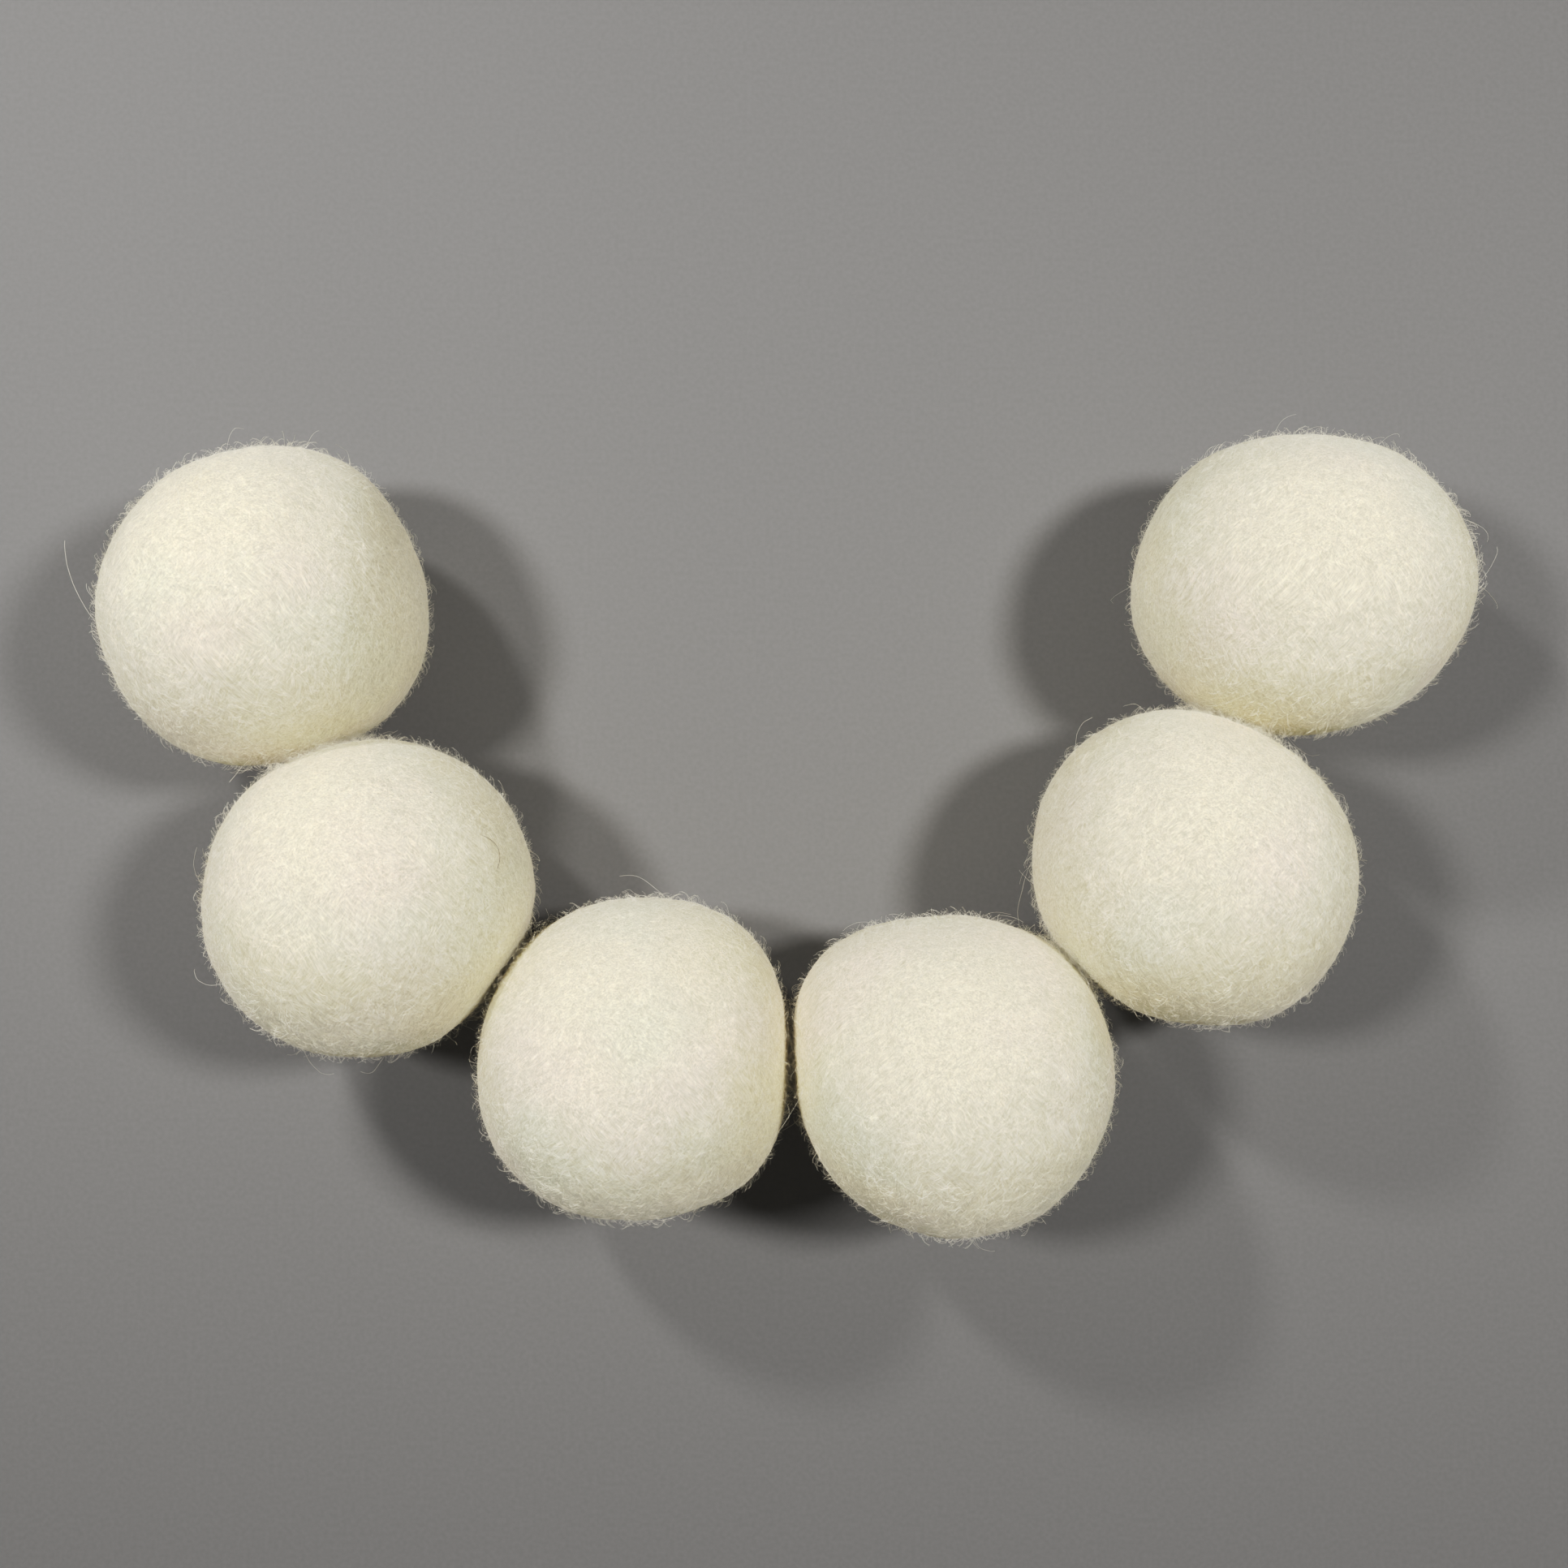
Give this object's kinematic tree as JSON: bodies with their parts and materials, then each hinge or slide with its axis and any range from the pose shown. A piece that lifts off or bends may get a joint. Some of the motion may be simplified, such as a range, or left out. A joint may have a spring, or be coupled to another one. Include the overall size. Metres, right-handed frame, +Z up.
{
  "type": "wool dryer balls",
  "caption": "Felted wool dryer balls lying against one another in a U; each is a rolled core under crossed wraps of carded wool and a wet-felted coat, and lifts freely.",
  "frame": {"origin": "on the table, under the middle of the set's bounding box", "axes": "+X along the width of the U, from ball_1 to ball_6; +Y towards the open side of the U; +Z up from the table"},
  "size_m": [0.298, 0.1744, 0.0699],
  "materials": {
    "core": "matte",
    "inner_wrap": "matte",
    "outer_wrap": "matte",
    "felt_coat": "matte"
  },
  "bodies": {
    "ball_1": {"ball_1_core": "core", "ball_1_inner_wrap": "inner_wrap", "ball_1_outer_wrap": "outer_wrap", "ball_1_felt_coat": "felt_coat"},
    "ball_2": {"ball_2_core": "core", "ball_2_inner_wrap": "inner_wrap", "ball_2_outer_wrap": "outer_wrap", "ball_2_felt_coat": "felt_coat"},
    "ball_3": {"ball_3_core": "core", "ball_3_inner_wrap": "inner_wrap", "ball_3_outer_wrap": "outer_wrap", "ball_3_felt_coat": "felt_coat"},
    "ball_4": {"ball_4_core": "core", "ball_4_inner_wrap": "inner_wrap", "ball_4_outer_wrap": "outer_wrap", "ball_4_felt_coat": "felt_coat"},
    "ball_5": {"ball_5_core": "core", "ball_5_inner_wrap": "inner_wrap", "ball_5_outer_wrap": "outer_wrap", "ball_5_felt_coat": "felt_coat"},
    "ball_6": {"ball_6_core": "core", "ball_6_inner_wrap": "inner_wrap", "ball_6_outer_wrap": "outer_wrap", "ball_6_felt_coat": "felt_coat"}
  },
  "joints": [
    {"name": "ball_1_lift", "type": "slide", "parent": "ball_3", "child": "ball_1", "axis": [0, 0, 1], "range_m": [0, 0.12]},
    {"name": "ball_2_lift", "type": "slide", "parent": "ball_3", "child": "ball_2", "axis": [0, 0, 1], "range_m": [0, 0.12]},
    {"name": "ball_4_lift", "type": "slide", "parent": "ball_3", "child": "ball_4", "axis": [0, 0, 1], "range_m": [0, 0.12]},
    {"name": "ball_5_lift", "type": "slide", "parent": "ball_3", "child": "ball_5", "axis": [0, 0, 1], "range_m": [0, 0.12]},
    {"name": "ball_6_lift", "type": "slide", "parent": "ball_3", "child": "ball_6", "axis": [0, 0, 1], "range_m": [0, 0.12]}
  ]
}
